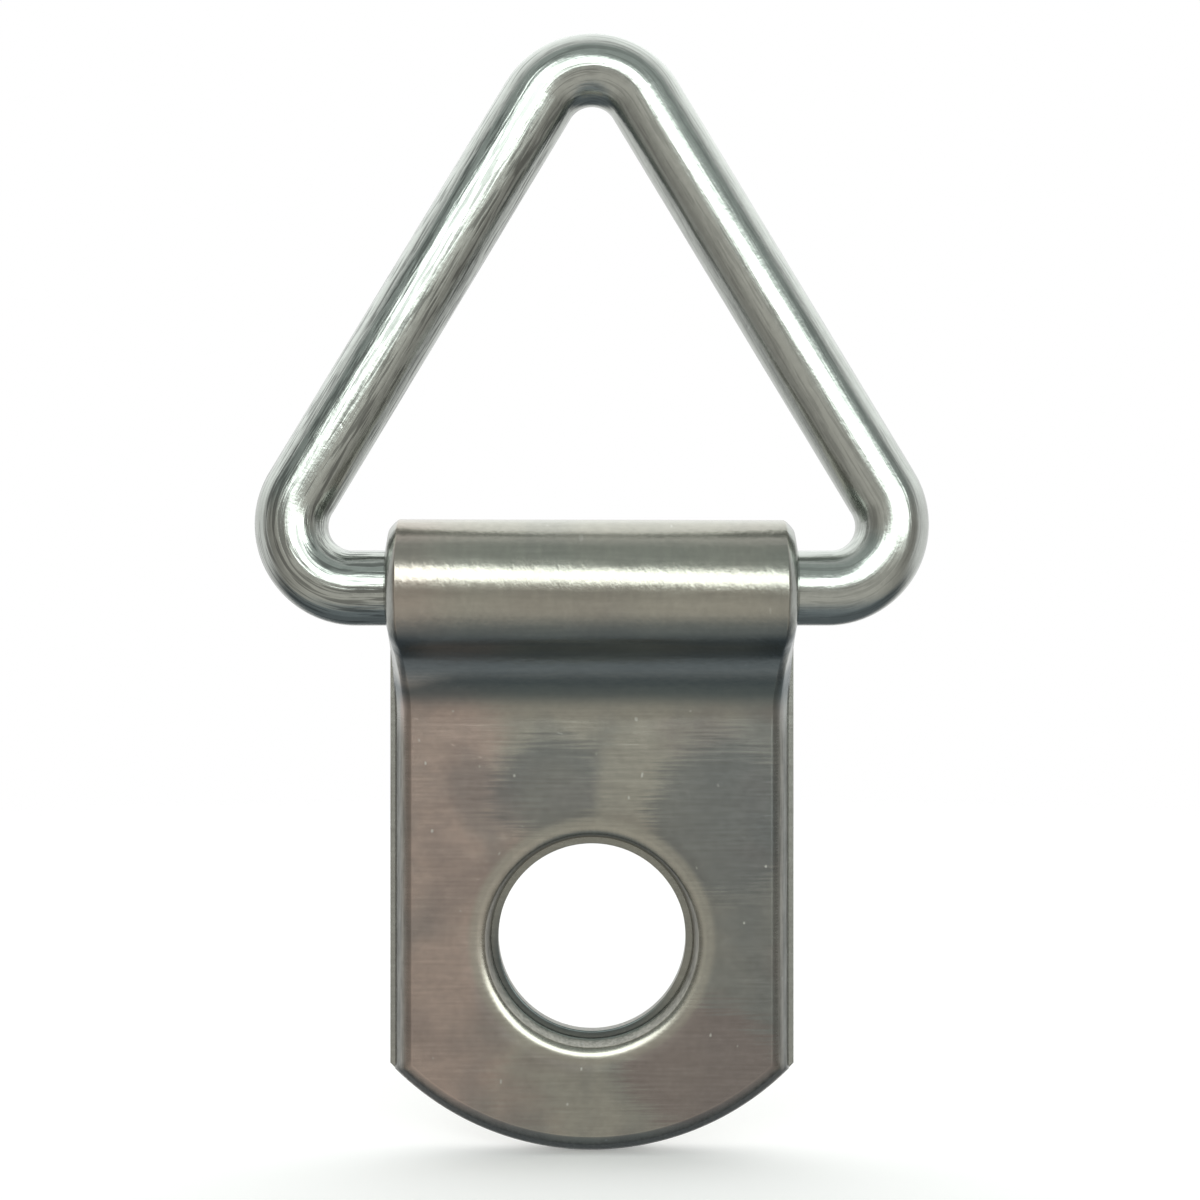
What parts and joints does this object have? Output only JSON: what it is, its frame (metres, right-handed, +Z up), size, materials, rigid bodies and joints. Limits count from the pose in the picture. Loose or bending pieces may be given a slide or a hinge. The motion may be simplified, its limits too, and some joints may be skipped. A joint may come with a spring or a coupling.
{
  "type": "plaque hanger",
  "caption": "Folded sheet strap with a screw hole through both leaves and a triangular wire ring that swings in its barrel, for hanging a plaque or frame.",
  "frame": {"origin": "centre of the screw hole, on the back face of the strap", "axes": "+Z up from the screw hole to the ring, -Y out of the front, +X to the right seen from the front"},
  "size_m": [0.0198, 0.004, 0.0332],
  "materials": {
    "strap_plate": "nickel plate over brushed sheet",
    "ring_wire": "bright nickel plate over drawn wire"
  },
  "bodies": {
    "strap": {"folded_strap": "strap_plate"},
    "ring": {"triangle_ring": "ring_wire"}
  },
  "joints": [
    {"name": "ring_swing", "type": "hinge", "parent": "strap", "child": "ring", "pos_m": [0, -0.002, 0.0104], "axis": [1, 0, 0], "range_deg": [-147, 175]}
  ]
}
